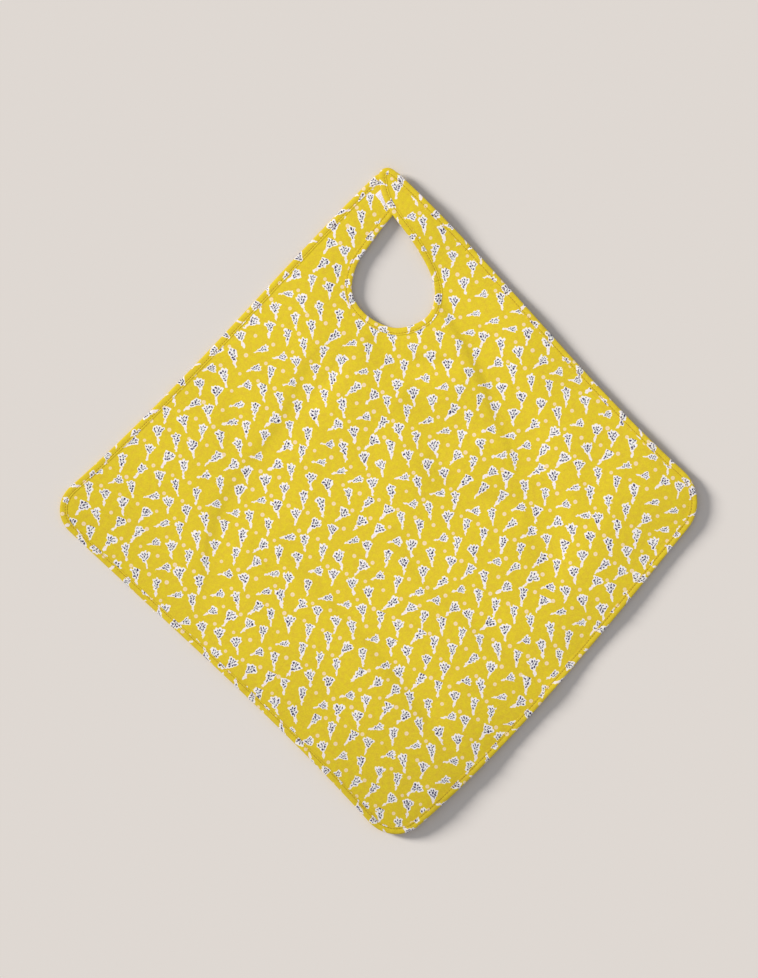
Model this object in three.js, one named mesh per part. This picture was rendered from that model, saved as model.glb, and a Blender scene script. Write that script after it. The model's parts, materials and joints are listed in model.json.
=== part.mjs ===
// A square cotton weaning bib, lying flat and closed at the neck.
// Millimetres. +Z leaves the printed face, +Y points from the hem corner to the neck, +X to its right.
// The origin is under the middle of the bib, on the surface that it lies on.
import * as THREE from 'three';

// ---- Driving dimensions ----

// Outline: the square's four corners before they are rounded, clockwise from the neck.
const TOP = new THREE.Vector2(8.9, 351);
const RIGHT = new THREE.Vector2(348.4, 4);
const BOTTOM = new THREE.Vector2(13.4, -361.2);
const LEFT = new THREE.Vector2(-347.6, -7.5);
// How far each side's two inner handles stand outside the straight line between its corners.
const BOW_UPPER_RIGHT = [10, -17];
const BOW_LOWER_RIGHT = [8, 25];
const BOW_LOWER_LEFT = [-15, -1];
const BOW_UPPER_LEFT = [-16, 4];
// How much of each side a rounded corner takes.
const RIGHT_CORNER_CUT = 42;
const BOTTOM_CORNER_CUT = 36;
const LEFT_CORNER_CUT = 35;

// The right strap's round tip, which lies on top of the left strap.
const TIP_CENTRE = new THREE.Vector2(8.9, 337.2);
const TIP_RADIUS = 9.4;
// The neck edge, from the right strap's tip round under the chin and up to the left strap's end.
const NECK_EDGE = [
  [0.4, 333.5], [2.4, 321], [7.9, 307.4], [15.6, 295.1], [35.5, 268.5], [54, 235], [58, 213], [50, 192],
  [19, 180], [-11, 192], [-27.5, 215], [-24, 243], [-8, 268.5], [12.8, 295.3], [24.5, 308.8],
];
// The left strap's end, hidden under the right strap.
const LEFT_END_SETBACK = 6;
const LEFT_END_INNER = new THREE.Vector2(35, 321);
const LEFT_END_CUT = 14;

// Cloth layers, from the surface up, with a clearance between neighbours.
const GAP = 0.3;
const BINDING_THICK = 0.5;
const BINDING_WIDTH = 7.5;
const LINING_THICK = 0.8;
const INTERLINING_THICK = 1.0;
const FRONT_THICK = 0.6;
const LINING_SAG_INSET = 9;

// Edge stitching on the binding.
const STITCH_INSET = 6.8;
const STITCH_WIDTH = 0.6;
const STITCH_HEIGHT = 0.3;

// Hook-and-loop closure.
const LOOP_CENTRE = [8.5, 318.7];
const LOOP_SIZE = [19, 17];
const LOOP_TURN = 42.5;
const HOOK_CENTRE = [22.2, 315];
const HOOK_SIZE = [18, 13];
const HOOK_TURN = -52;
const TAPE_BASE = 0.4;
const TAPE_PILE = 0.6;
const SELVEDGE = 2.4;
const TAPE_STITCH_INSET = 1.0;
const TAPE_STITCH_SIZE = 0.25;

// The line that the right strap bends about when the closure is peeled open.
const HINGE_POINT = new THREE.Vector2(69, 257.5);
const HINGE_TURN = 44;
const HINGE_GAP = 1;
// The strap rises from the hinge to lie on the left strap.
const RISE_STATIONS = [8, 20, 32, 44, 56];
const STRAP_RISE = 6;

// How finely the edges are divided.
const SIDE_STEPS = 12;
const CORNER_STEPS = 8;
const NECK_STEP = 7;
const TIP_STEPS = 10;

// ---- Levels that follow from the layers ----

const LINING_BOTTOM = BINDING_THICK + GAP;
const LINING_TOP = LINING_BOTTOM + LINING_THICK;
const INTERLINING_BOTTOM = LINING_TOP + GAP;
const INTERLINING_TOP = INTERLINING_BOTTOM + INTERLINING_THICK;
const FRONT_BOTTOM = INTERLINING_TOP + GAP;
const FRONT_TOP = FRONT_BOTTOM + FRONT_THICK;
const EDGE_HEIGHT = FRONT_TOP + GAP + BINDING_THICK;
const PANEL_INSET = BINDING_THICK + GAP;

// ---- Plan geometry ----

const radians = THREE.MathUtils.degToRad;
const hingeAxis = new THREE.Vector2(Math.cos(radians(HINGE_TURN)), Math.sin(radians(HINGE_TURN)));
const towardsTip = new THREE.Vector2(-hingeAxis.y, hingeAxis.x);

// Distance from the hinge line, positive towards the right strap's tip.
function station(point) {
  return point.clone().sub(HINGE_POINT).dot(towardsTip);
}

// One side of the square, bowed by its two handles.
function sideCurve(from, to, [bowStart, bowEnd]) {
  const along = to.clone().sub(from);
  const outward = new THREE.Vector2(-along.y, along.x).normalize();
  const handle = (share, bow) => from.clone().addScaledVector(along, share).addScaledVector(outward, bow);
  return new THREE.CubicBezierCurve(from, handle(1 / 3, bowStart), handle(2 / 3, bowEnd), to);
}

// Points of a curve between two distances along it, both ends included.
function stretch(curve, start, end, steps) {
  const length = curve.getLength();
  return Array.from({ length: steps + 1 }, (_, i) => {
    const distance = start + ((end - start) * i) / steps;
    return curve.getPointAt(THREE.MathUtils.clamp(distance / length, 0, 1));
  });
}

// A round corner between the last two points of one stretch and the first two of the next, ends left out.
function cornerPoints(before, after, steps) {
  const ROUND_HANDLE = 0.5523;
  const start = before.at(-1);
  const end = after[0];
  const inward = start.clone().sub(before.at(-2)).normalize();
  const onward = after[1].clone().sub(end).normalize();
  const turn = inward.x * onward.y - inward.y * onward.x;
  const across = end.clone().sub(start);
  const reachIn = (across.x * onward.y - across.y * onward.x) / turn;
  const reachOut = (inward.x * across.y - inward.y * across.x) / turn;
  const curve = new THREE.CubicBezierCurve(
    start,
    start.clone().addScaledVector(inward, reachIn * ROUND_HANDLE),
    end.clone().addScaledVector(onward, -reachOut * ROUND_HANDLE),
    end,
  );
  return curve.getPoints(steps).slice(1, -1);
}

// Distance along a curve at which it crosses a station, between two distances.
function crossing(curve, wanted, low, high) {
  const length = curve.getLength();
  const offsetAt = (distance) => station(curve.getPointAt(distance / length)) - wanted;
  const startsAbove = offsetAt(low) > 0;
  for (let i = 0; i < 40; i += 1) {
    const middle = (low + high) / 2;
    if (offsetAt(middle) > 0 === startsAbove) low = middle;
    else high = middle;
  }
  return low;
}

const upperRight = sideCurve(TOP, RIGHT, BOW_UPPER_RIGHT);
const lowerRight = sideCurve(RIGHT, BOTTOM, BOW_LOWER_RIGHT);
const lowerLeft = sideCurve(BOTTOM, LEFT, BOW_LOWER_LEFT);
const upperLeft = sideCurve(LEFT, TOP, BOW_UPPER_LEFT);
const neckSpline = new THREE.CatmullRomCurve3(
  NECK_EDGE.map(([x, y]) => new THREE.Vector3(x, y, 0)), false, 'centripetal',
);
const neckEdge = {
  getLength: () => neckSpline.getLength(),
  getPointAt: (u) => {
    const { x, y } = neckSpline.getPointAt(u);
    return new THREE.Vector2(x, y);
  },
};

// The body's edge, clockwise, from the hinge line's outer end round to its inner end.
function bodyEdge() {
  const rightEnd = upperRight.getLength() - RIGHT_CORNER_CUT;
  const hingeOuter = crossing(upperRight, -HINGE_GAP / 2, 0, rightEnd);
  const hingeInner = crossing(neckEdge, -HINGE_GAP / 2, 0, neckEdge.getLength() / 2);
  const neckLeft = neckEdge.getLength() - hingeInner;

  const stretches = [
    stretch(upperRight, hingeOuter, rightEnd, SIDE_STEPS),
    stretch(lowerRight, RIGHT_CORNER_CUT, lowerRight.getLength() - BOTTOM_CORNER_CUT, SIDE_STEPS),
    stretch(lowerLeft, BOTTOM_CORNER_CUT, lowerLeft.getLength() - LEFT_CORNER_CUT, SIDE_STEPS),
    stretch(upperLeft, LEFT_CORNER_CUT, upperLeft.getLength() - LEFT_END_SETBACK - LEFT_END_CUT, SIDE_STEPS),
  ];
  const endOuter = upperLeft.getPointAt(1 - LEFT_END_SETBACK / upperLeft.getLength());
  const strapEnd = new THREE.LineCurve(endOuter, LEFT_END_INNER);
  stretches.push(stretch(strapEnd, LEFT_END_CUT, strapEnd.getLength() - LEFT_END_CUT, 2));
  const neckSteps = Math.round(neckLeft / NECK_STEP);
  stretches.push(stretch(neckEdge, neckEdge.getLength(), hingeInner, neckSteps));

  return stretches.flatMap((points, i) => {
    const next = stretches[i + 1];
    return next ? [...points, ...cornerPoints(points, next, CORNER_STEPS)] : points;
  });
}

// The right strap's edge, clockwise, from the hinge line's inner end round the tip to its outer end.
function strapEdge() {
  const hingeInner = crossing(neckEdge, HINGE_GAP / 2, 0, neckEdge.getLength() / 2);
  const hingeOuter = crossing(upperRight, HINGE_GAP / 2, 0, upperRight.getLength() / 2);
  const inner = stretch(neckEdge, hingeInner, 0, Math.round(hingeInner / NECK_STEP));
  const outer = stretch(upperRight, TIP_RADIUS + 4, hingeOuter, SIDE_STEPS);
  const startAngle = inner.at(-1).clone().sub(TIP_CENTRE).angle();
  const endAngle = Math.PI / 2 + outer[1].clone().sub(outer[0]).angle() - 2 * Math.PI;
  const tip = Array.from({ length: TIP_STEPS - 1 }, (_, i) => {
    const angle = startAngle + ((endAngle - startAngle) * (i + 1)) / TIP_STEPS;
    return new THREE.Vector2(Math.cos(angle), Math.sin(angle)).multiplyScalar(TIP_RADIUS).add(TIP_CENTRE);
  });
  return [...inner, ...tip, ...outer];
}

// Moves an edge inwards. Its two ends slide along the hinge line, so that a cut stays straight.
function inset(edge, distance) {
  return edge.map((point, i) => {
    const before = edge[Math.max(i - 1, 0)];
    const after = edge[Math.min(i + 1, edge.length - 1)];
    const along = after.clone().sub(before).normalize();
    const inward = new THREE.Vector2(along.y, -along.x);
    if (i > 0 && i < edge.length - 1) return point.clone().addScaledVector(inward, distance);
    const slide = hingeAxis.dot(inward);
    return point.clone().addScaledVector(hingeAxis, distance / slide);
  });
}

// ---- The right strap's rise ----

const flat = () => 0;

// Height that the strap gains by a station: a smooth rise, straight between the stations.
function strapRise(point) {
  const first = RISE_STATIONS[0];
  const last = RISE_STATIONS.at(-1);
  const eased = (s) => STRAP_RISE * THREE.MathUtils.smoothstep(s, first, last);
  const s = station(point);
  const next = RISE_STATIONS.findIndex((value) => s < value);
  if (next === 0) return 0;
  if (next < 0) return STRAP_RISE;
  const low = RISE_STATIONS[next - 1];
  const high = RISE_STATIONS[next];
  return THREE.MathUtils.mapLinear(s, low, high, eased(low), eased(high));
}

// Adds the points where a closed outline crosses the stations.
function withStations(outline) {
  return outline.flatMap((point, i) => {
    const next = outline[(i + 1) % outline.length];
    const [from, to] = [station(point), station(next)];
    const added = RISE_STATIONS.filter((s) => (s - from) * (s - to) < 0)
      .sort((a, b) => (a - b) * Math.sign(to - from))
      .map((s) => point.clone().lerp(next, (s - from) / (to - from)));
    return [point, ...added];
  });
}

// ---- Solids ----

function solid(name, positions, faces, material) {
  const geometry = new THREE.BufferGeometry();
  geometry.setAttribute('position', new THREE.Float32BufferAttribute(positions, 3));
  geometry.setIndex(faces);
  geometry.computeVertexNormals();
  const mesh = new THREE.Mesh(geometry, material);
  mesh.name = name;
  return mesh;
}

// Triangles of an outline's flat face, facing up, split at the stations where the strap's slope changes.
function capFaces(outline, split) {
  const SLACK = 1e-6;
  const bounds = split ? [-Infinity, ...RISE_STATIONS, Infinity] : [-Infinity, Infinity];
  return bounds.slice(1).flatMap((high, band) => {
    const low = bounds[band];
    const members = outline.map((_, i) => i).filter((i) => {
      const s = split ? station(outline[i]) : 0;
      return s > low - SLACK && s < high + SLACK;
    });
    const triangles = THREE.ShapeUtils.triangulateShape(members.map((i) => outline[i]), []);
    return triangles.map((triangle) => triangle.map((i) => members[i]));
  });
}

// A closed solid from a stack of outlines with the same number of points, listed from the bottom up.
function stackedSolid(name, levels, rise, material, split = false) {
  const positions = levels.flatMap(({ outline, z }) => outline.flatMap((p) => [p.x, p.y, z + rise(p)]));
  const count = levels[0].outline.length;
  const top = count * (levels.length - 1);
  const faces = [];
  for (const [a, b, c] of capFaces(levels[0].outline, split)) faces.push(a, c, b);
  for (const [a, b, c] of capFaces(levels.at(-1).outline, split)) faces.push(top + a, top + b, top + c);
  for (let level = 0; level < levels.length - 1; level += 1) {
    for (let i = 0; i < count; i += 1) {
      const low = level * count + i;
      const lowNext = level * count + ((i + 1) % count);
      faces.push(low, low + count, lowNext, lowNext, low + count, lowNext + count);
    }
  }
  return solid(name, positions, faces, material);
}

// A closed solid swept along an open edge. The section is a list of [inset, height], outer face first, going up.
function sweptSolid(name, edge, section, rise, material) {
  const rings = section.map(([distance]) => inset(edge, distance));
  const positions = edge.flatMap((_, i) => rings.flatMap((ring, k) => {
    const p = ring[i];
    return [p.x, p.y, section[k][1] + rise(p)];
  }));
  const size = section.length;
  const faces = [];
  for (let i = 0; i < edge.length - 1; i += 1) {
    for (let k = 0; k < size; k += 1) {
      const here = i * size + k;
      const beside = i * size + ((k + 1) % size);
      faces.push(here, beside, here + size, beside, beside + size, here + size);
    }
  }
  const profile = section.map(([distance, z]) => new THREE.Vector2(distance, z));
  const last = (edge.length - 1) * size;
  for (const [a, b, c] of THREE.ShapeUtils.triangulateShape(profile, [])) {
    faces.push(a, b, c, last + a, last + c, last + b);
  }
  return solid(name, positions, faces, material);
}

// ---- Materials ----

const cloth = (colour, roughness = 0.9) => new THREE.MeshStandardMaterial({ color: colour, roughness, metalness: 0 });
const printedCotton = cloth('#dec430');
const bindingCotton = cloth('#d9bf2c');
const wadding = cloth('#f2efe8');
const liningCotton = cloth('#ece6d8');
const thread = cloth('#b5851c', 0.6);
const tapeNylon = cloth('#f1efea', 0.7);

// ---- Sub-parts ----

// The three cloth layers inside the binding, for the body or for the strap.
function layers(prefix, edge, { rise, split, sags }) {
  const whole = inset(edge, PANEL_INSET);
  const outline = split ? withStations(whole) : whole;
  const slab = (name, bottom, top, material) => stackedSolid(
    prefix + name, [{ outline, z: bottom }, { outline, z: top }], rise, material, split,
  );
  const sagging = inset(edge, LINING_SAG_INSET);
  const lining = sags
    ? stackedSolid(`${prefix}back_panel`, [
      { outline: sagging, z: 0 },
      { outline: sagging, z: LINING_BOTTOM },
      { outline, z: LINING_BOTTOM },
      { outline, z: LINING_TOP },
    ], rise, liningCotton)
    : slab('back_panel', LINING_BOTTOM, LINING_TOP, liningCotton);
  return [
    lining,
    slab('interlining', INTERLINING_BOTTOM, INTERLINING_TOP, wadding),
    slab('front_panel', FRONT_BOTTOM, FRONT_TOP, printedCotton),
  ];
}

// The folded strip round the edge: a channel that takes the layers.
function binding(name, edge, rise) {
  const section = [
    [0, 0],
    [0, EDGE_HEIGHT],
    [BINDING_WIDTH, EDGE_HEIGHT],
    [BINDING_WIDTH, EDGE_HEIGHT - BINDING_THICK],
    [BINDING_THICK, EDGE_HEIGHT - BINDING_THICK],
    [BINDING_THICK, BINDING_THICK],
    [BINDING_WIDTH, BINDING_THICK],
    [BINDING_WIDTH, 0],
  ];
  return sweptSolid(name, edge, section, rise, bindingCotton);
}

// The line of thread that holds the binding.
function edgeStitching(name, edge, rise) {
  const near = STITCH_INSET - STITCH_WIDTH / 2;
  const far = STITCH_INSET + STITCH_WIDTH / 2;
  const bottom = EDGE_HEIGHT + GAP;
  const section = [[near, bottom], [near, bottom + STITCH_HEIGHT], [far, bottom + STITCH_HEIGHT], [far, bottom]];
  return sweptSolid(name, edge, section, rise, thread);
}

// A clockwise rectangle about a centre, shrunk by an inset and turned.
function rectangle([cx, cy], [length, width], turn, shrink) {
  const [a, b] = [length / 2 - shrink, width / 2 - shrink];
  const corners = [[-a, -b], [-a, b], [a, b], [a, -b]];
  return corners.map(([x, y]) => {
    const corner = new THREE.Vector2(x, y).rotateAround(new THREE.Vector2(), radians(turn));
    return corner.add(new THREE.Vector2(cx, cy));
  });
}

// One piece of fastening tape: a woven base with a plain selvedge, and pile or hooks on the rest of it.
// up is 1 where the pile faces up, and -1 where it faces down.
function tapePatch(name, centre, size, turn, baseHeight, up) {
  const full = rectangle(centre, size, turn, 0);
  const pile = rectangle(centre, size, turn, SELVEDGE);
  const baseEnd = baseHeight + up * TAPE_BASE;
  const levels = [
    { outline: full, z: baseHeight },
    { outline: full, z: baseEnd },
    { outline: pile, z: baseEnd },
    { outline: pile, z: baseEnd + up * TAPE_PILE },
  ];
  return stackedSolid(name, up > 0 ? levels : levels.reverse(), flat, tapeNylon);
}

// The closed line of thread on a tape patch's selvedge.
function tapeStitching(name, centre, size, turn, selvedgeHeight, up) {
  const shape = new THREE.Shape(rectangle(centre, size, turn, TAPE_STITCH_INSET));
  const inner = rectangle(centre, size, turn, TAPE_STITCH_INSET + TAPE_STITCH_SIZE);
  shape.holes.push(new THREE.Path(inner.reverse()));
  const geometry = new THREE.ExtrudeGeometry(shape, { depth: TAPE_STITCH_SIZE, bevelEnabled: false });
  const mesh = new THREE.Mesh(geometry, thread);
  mesh.name = name;
  mesh.position.z = up > 0 ? selvedgeHeight + GAP : selvedgeHeight - GAP - TAPE_STITCH_SIZE;
  return mesh;
}

// ---- Assembly ----

const bib = new THREE.Group();

const body = bodyEdge();
bib.add(...layers('', body, { rise: flat, split: false, sags: true }));
bib.add(binding('edge_binding', body, flat));
bib.add(edgeStitching('edge_stitching', body, flat));

const strap = strapEdge();
bib.add(...layers('right_strap_', strap, { rise: strapRise, split: true, sags: false }));
bib.add(binding('right_strap_binding', strap, strapRise));
bib.add(edgeStitching('right_strap_stitching', strap, strapRise));

const loopBase = FRONT_TOP + GAP;
bib.add(tapePatch('loop_patch', LOOP_CENTRE, LOOP_SIZE, LOOP_TURN, loopBase, 1));
bib.add(tapeStitching('loop_patch_stitching', LOOP_CENTRE, LOOP_SIZE, LOOP_TURN, loopBase + TAPE_BASE, 1));

const hookBase = STRAP_RISE + LINING_BOTTOM - GAP;
bib.add(tapePatch('hook_patch', HOOK_CENTRE, HOOK_SIZE, HOOK_TURN, hookBase, -1));
bib.add(tapeStitching('hook_patch_stitching', HOOK_CENTRE, HOOK_SIZE, HOOK_TURN, hookBase - TAPE_BASE, -1));

export default bib;
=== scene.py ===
"""A square cotton weaning bib, lying flat with its neck straps closed.

Plan shapes are worked out in millimetres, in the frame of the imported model, and turned to metres as each
mesh is made.
"""

import json
import math

import bpy
import numpy as np
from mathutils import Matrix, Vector
from mathutils.geometry import delaunay_2d_cdt


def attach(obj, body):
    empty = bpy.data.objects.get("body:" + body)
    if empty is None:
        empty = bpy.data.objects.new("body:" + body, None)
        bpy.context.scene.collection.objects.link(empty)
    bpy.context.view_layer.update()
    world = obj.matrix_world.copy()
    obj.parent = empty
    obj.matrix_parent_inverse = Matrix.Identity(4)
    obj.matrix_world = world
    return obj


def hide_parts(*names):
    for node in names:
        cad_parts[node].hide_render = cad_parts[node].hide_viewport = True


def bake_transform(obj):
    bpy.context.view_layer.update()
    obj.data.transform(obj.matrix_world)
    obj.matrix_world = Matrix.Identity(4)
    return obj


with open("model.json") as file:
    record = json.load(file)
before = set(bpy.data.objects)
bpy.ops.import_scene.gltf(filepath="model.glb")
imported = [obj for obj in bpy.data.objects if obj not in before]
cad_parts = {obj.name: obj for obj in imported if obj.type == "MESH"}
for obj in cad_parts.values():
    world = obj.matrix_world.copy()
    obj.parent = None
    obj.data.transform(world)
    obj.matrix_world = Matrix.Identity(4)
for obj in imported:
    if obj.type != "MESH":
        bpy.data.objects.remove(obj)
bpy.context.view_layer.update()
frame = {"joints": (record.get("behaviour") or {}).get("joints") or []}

MM = 0.001

# ---- Outline, in millimetres, as the CAD has it ----

TOP, RIGHT, BOTTOM, LEFT = (8.9, 351), (348.4, 4), (13.4, -361.2), (-347.6, -7.5)
BOW_UPPER_RIGHT, BOW_LOWER_RIGHT = (10, -17), (8, 25)
BOW_LOWER_LEFT, BOW_UPPER_LEFT = (-15, -1), (-16, 4)
RIGHT_CORNER_CUT, BOTTOM_CORNER_CUT, LEFT_CORNER_CUT = 42, 36, 35
TIP_CENTRE = np.array((8.9, 337.2))
TIP_RADIUS, TIP_END = 9.4, 13.4
NECK_EDGE = [
    (0.4, 333.5), (2.4, 321), (7.9, 307.4), (15.6, 295.1), (35.5, 268.5), (54, 235), (58, 213), (50, 192),
    (19, 180), (-11, 192), (-27.5, 215), (-24, 243), (-8, 268.5), (12.8, 295.3), (24.5, 308.8),
]
LEFT_END_SETBACK, LEFT_END_CUT = 6, 14
LEFT_END_INNER = (35, 321)

LOOP_CENTRE, LOOP_SIZE, LOOP_TURN = (8.5, 318.7), (19, 17), 42.5
HOOK_CENTRE, HOOK_SIZE, HOOK_TURN = (22.2, 315), (18, 13), -52

# The strap bends about the joint's line, over a stretch of cloth that starts a little before it.
joint = next(j for j in frame["joints"] if j["name"] == "strap_peel")
HINGE = np.array(joint["pos_m"][:2]) / MM
TOWARDS_TIP = np.array((-joint["axis"][1], joint["axis"][0]))
BEND_START, BEND_END = -13.0, 24.0
RISE_START, RISE_END = -26.0, 64.0
NECK_RIGHT = 45
STRAPS_MEET = (12, 300)

# ---- Cloth, in millimetres ----

# Distance between a mesh's points, and how far inside the folded edge the panels end.
SIDE_STEP, CURVE_STEP, TIP_STEP = 3.0, 1.5, 1.2
PANEL_STEP, PANEL_INSET = 3.2, 0.9
# How high the middle of the layers lies, and how much that differs from place to place.
LYING_HEIGHT, STRAP_RISE = 4.6, 4.7
LEFT_LOWER, TIP_LOWER, BOTTOM_HIGHER = 1.4, 2.3, 1.8
MIDDLE_HIGHER, BEFORE_BOTTOM_HIGHER = 1.0, 1.4
EDGE_LOWEST, MIDDLE_LOWEST = 1.7, 2.6
# Rolls of the lying cloth: height, length and random seed.
ROLLS = ((1.0, 230, 3), (0.5, 110, 5))
FINE_ROLL, FINEST_ROLL, EDGE_ROLL = (0.1, 42, 7), (0.03, 18, 11), (0.5, 80, 9)
# Half the thickness of the layers under the binding, and what the seam and the wadding add inside it.
EDGE_HALF, SEAM_HALF, PUFF_HALF = 0.9, 0.3, 1.0
BINDING_WIDTH = 7.5
STRIP_WIDTH, STRIP_PLACE = 17, (410, 170)
BINDING_HALF, BINDING_THICK, BINDING_NOSE = 1.05, 0.45, 2.4
GROOVE_DEPTH, GROOVE_WIDTH = 0.3, 0.8
PUCKER_HEIGHT, PUCKER_LENGTH, PUCKER_REACH = 0.13, 1.9, 9
STITCH_INSET, STITCH_PITCH, STITCH_LENGTH, THREAD_RADIUS = 5.7, 3.0, 2.65, 0.28
TAPE_BASE, TAPE_CLEAR = 0.3, 0.1
PILE_HEIGHT, HOOK_HEIGHT = 0.5, 0.55
SELVEDGE = 2.2


# ---- Plan geometry ----


def station(points):
    """Distance from the hinge line, positive towards the right strap's tip."""
    return (np.asarray(points) - HINGE) @ TOWARDS_TIP


def along(path):
    """Distance of each point along a path."""
    return np.r_[0, np.cumsum(np.hypot(*np.diff(path, axis=0).T))]


def stretch(path, start, end, step):
    """Evenly spaced points of a path between two distances along it, both ends included."""
    distance = along(path)
    count = max(2, round(abs(end - start) / step) + 1)
    wanted = np.linspace(start, end, count)
    return np.c_[np.interp(wanted, distance, path[:, 0]), np.interp(wanted, distance, path[:, 1])]


def bezier(a, b, c, d, count):
    t = np.linspace(0, 1, count)[:, None]
    return (1 - t) ** 3 * a + 3 * (1 - t) ** 2 * t * b + 3 * (1 - t) * t**2 * c + t**3 * d


def side(start, end, bows):
    """One side of the square, bowed by its two handles."""
    start, end = np.array(start, float), np.array(end, float)
    line = end - start
    outward = np.array((-line[1], line[0])) / np.hypot(*line)
    handles = [start + line * share + outward * bow for share, bow in zip((1 / 3, 2 / 3), bows)]
    return bezier(start, *handles, end, 400)


def corner(before, after, step):
    """A round corner between the end of one stretch and the start of the next, ends left out."""
    round_handle = 0.5523
    start, end = before[-1], after[0]
    inward = (start - before[-2]) / np.hypot(*(start - before[-2]))
    onward = (after[1] - end) / np.hypot(*(after[1] - end))
    reach_in, reach_out = np.linalg.solve(np.c_[inward, onward], end - start)
    curve = bezier(
        start, start + inward * reach_in * round_handle, end - onward * reach_out * round_handle, end, 60
    )
    return stretch(curve, 0, along(curve)[-1], step)[1:-1]


def smooth_curve(knots, per_span=24):
    """A centripetal curve through its knots."""
    knots = np.array(knots, float)
    padded = np.vstack([2 * knots[0] - knots[1], knots, 2 * knots[-1] - knots[-2]])
    t = np.linspace(0, 1, per_span, endpoint=False)[:, None]
    spans = []
    for p0, p1, p2, p3 in zip(padded, padded[1:], padded[2:], padded[3:]):
        d0, d1, d2 = (np.hypot(*(b - a)) ** 0.5 for a, b in ((p0, p1), (p1, p2), (p2, p3)))
        m1 = ((p1 - p0) / d0 - (p2 - p0) / (d0 + d1) + (p2 - p1) / d1) * d1
        m2 = ((p2 - p1) / d1 - (p3 - p1) / (d1 + d2) + (p3 - p2) / d2) * d1
        spans.append(
            (2 * t**3 - 3 * t**2 + 1) * p1 + (t**3 - 2 * t**2 + t) * m1
            + (3 * t**2 - 2 * t**3) * p2 + (t**3 - t**2) * m2
        )
    return np.vstack([*spans, knots[-1:]])


def crossing(path, wanted):
    """Distance along a path at which it first crosses a station."""
    offset = station(path) - wanted
    i = int(np.argmax(offset[:-1] * offset[1:] < 0))
    share = offset[i] / (offset[i] - offset[i + 1])
    distance = along(path)
    return distance[i] + share * (distance[i + 1] - distance[i])


upper_right = side(TOP, RIGHT, BOW_UPPER_RIGHT)
lower_right = side(RIGHT, BOTTOM, BOW_LOWER_RIGHT)
lower_left = side(BOTTOM, LEFT, BOW_LOWER_LEFT)
upper_left = side(LEFT, TOP, BOW_UPPER_LEFT)
neck_edge = smooth_curve(NECK_EDGE)


def body_edge():
    """The body's edge, clockwise, from the outer end of the bend's start round to its inner end."""
    lengths = [along(s)[-1] for s in (upper_right, lower_right, lower_left, upper_left)]
    end_outer = stretch(upper_left, lengths[3] - LEFT_END_SETBACK, lengths[3], 1)[0]
    strap_end = np.linspace(end_outer, LEFT_END_INNER, 40)
    stretches = [
        stretch(upper_right, crossing(upper_right, BEND_START), lengths[0] - RIGHT_CORNER_CUT, SIDE_STEP),
        stretch(lower_right, RIGHT_CORNER_CUT, lengths[1] - BOTTOM_CORNER_CUT, SIDE_STEP),
        stretch(lower_left, BOTTOM_CORNER_CUT, lengths[2] - LEFT_CORNER_CUT, SIDE_STEP),
        stretch(upper_left, LEFT_CORNER_CUT, lengths[3] - LEFT_END_SETBACK - LEFT_END_CUT, SIDE_STEP),
        stretch(strap_end, LEFT_END_CUT, along(strap_end)[-1] - LEFT_END_CUT, CURVE_STEP),
        stretch(neck_edge, along(neck_edge)[-1], crossing(neck_edge, BEND_START), CURVE_STEP),
    ]
    joined = [stretches[0]]
    for before, after in zip(stretches, stretches[1:]):
        joined += [corner(before, after, CURVE_STEP), after]
    return np.vstack(joined)


def strap_edge():
    """The right strap's edge, clockwise: the neck side from the bend's start, the tip, and the outer side."""
    inner = stretch(neck_edge, crossing(neck_edge, BEND_START), 0, CURVE_STEP)
    outer = stretch(upper_right, TIP_END, crossing(upper_right, BEND_START), CURVE_STEP)
    first = math.atan2(*(inner[-1] - TIP_CENTRE)[::-1]) % (2 * math.pi)
    last = math.pi / 2 + math.atan2(*(outer[1] - outer[0])[::-1])
    count = round((first - last) * TIP_RADIUS / TIP_STEP)
    angle = np.linspace(first, last, count + 1)[1:-1]
    tip = TIP_CENTRE + TIP_RADIUS * np.c_[np.cos(angle), np.sin(angle)]
    return np.vstack([inner, tip, outer])


BODY_EDGE, STRAP_EDGE = body_edge(), strap_edge()
LOOP = np.vstack([BODY_EDGE, STRAP_EDGE[1:-1]])
BODY_COUNT = len(BODY_EDGE)
# Each part of the edge, with a little of the other's where the two join.
NEAR_JOIN = 30
BODY_SURROUND = [BODY_EDGE, STRAP_EDGE[:NEAR_JOIN], STRAP_EDGE[-NEAR_JOIN:]]
STRAP_SURROUND = [STRAP_EDGE, BODY_EDGE[:NEAR_JOIN], BODY_EDGE[-NEAR_JOIN:]]


def inward_normals(loop):
    """Unit vectors into the cloth at each point of a closed clockwise loop."""
    line = np.roll(loop, -1, axis=0) - np.roll(loop, 1, axis=0)
    line /= np.hypot(*line.T)[:, None]
    return np.c_[line[:, 1], -line[:, 0]]


LOOP_NORMALS = inward_normals(LOOP)
LOOP_DISTANCE = along(LOOP)


def distance_to(points, paths):
    """Shortest distance from each point to any of some open paths."""
    nearest = np.full(len(points), 1e9)
    for path in paths:
        start, line = path[:-1], np.diff(path, axis=0)
        squared = (line**2).sum(1)
        for low in range(0, len(points), 2000):
            chunk = points[low:low + 2000, None]
            share = np.clip(((chunk - start) * line).sum(2) / squared, 0, 1)
            gap = np.hypot(*np.moveaxis(chunk - start - share[..., None] * line, 2, 0)).min(1)
            nearest[low:low + 2000] = np.minimum(nearest[low:low + 2000], gap)
    return nearest


# ---- How the cloth lies ----


def smoothstep(x, low, high):
    t = np.clip((x - low) / (high - low), 0, 1)
    return t * t * (3 - 2 * t)


def noise(points, wavelength, seed, waves=28):
    """A smooth wandering value of about -1 to 1, the same on each run."""
    rng = np.random.default_rng(seed)
    angle, phase = rng.uniform(0, 2 * math.pi, (2, waves))
    scale = 2 * math.pi / (wavelength * rng.uniform(0.7, 1.6, waves))
    directions = np.c_[np.cos(angle), np.sin(angle)] * scale[:, None]
    return np.cos(points @ directions.T + phase).sum(1) * math.sqrt(1.4 / waves)


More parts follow.
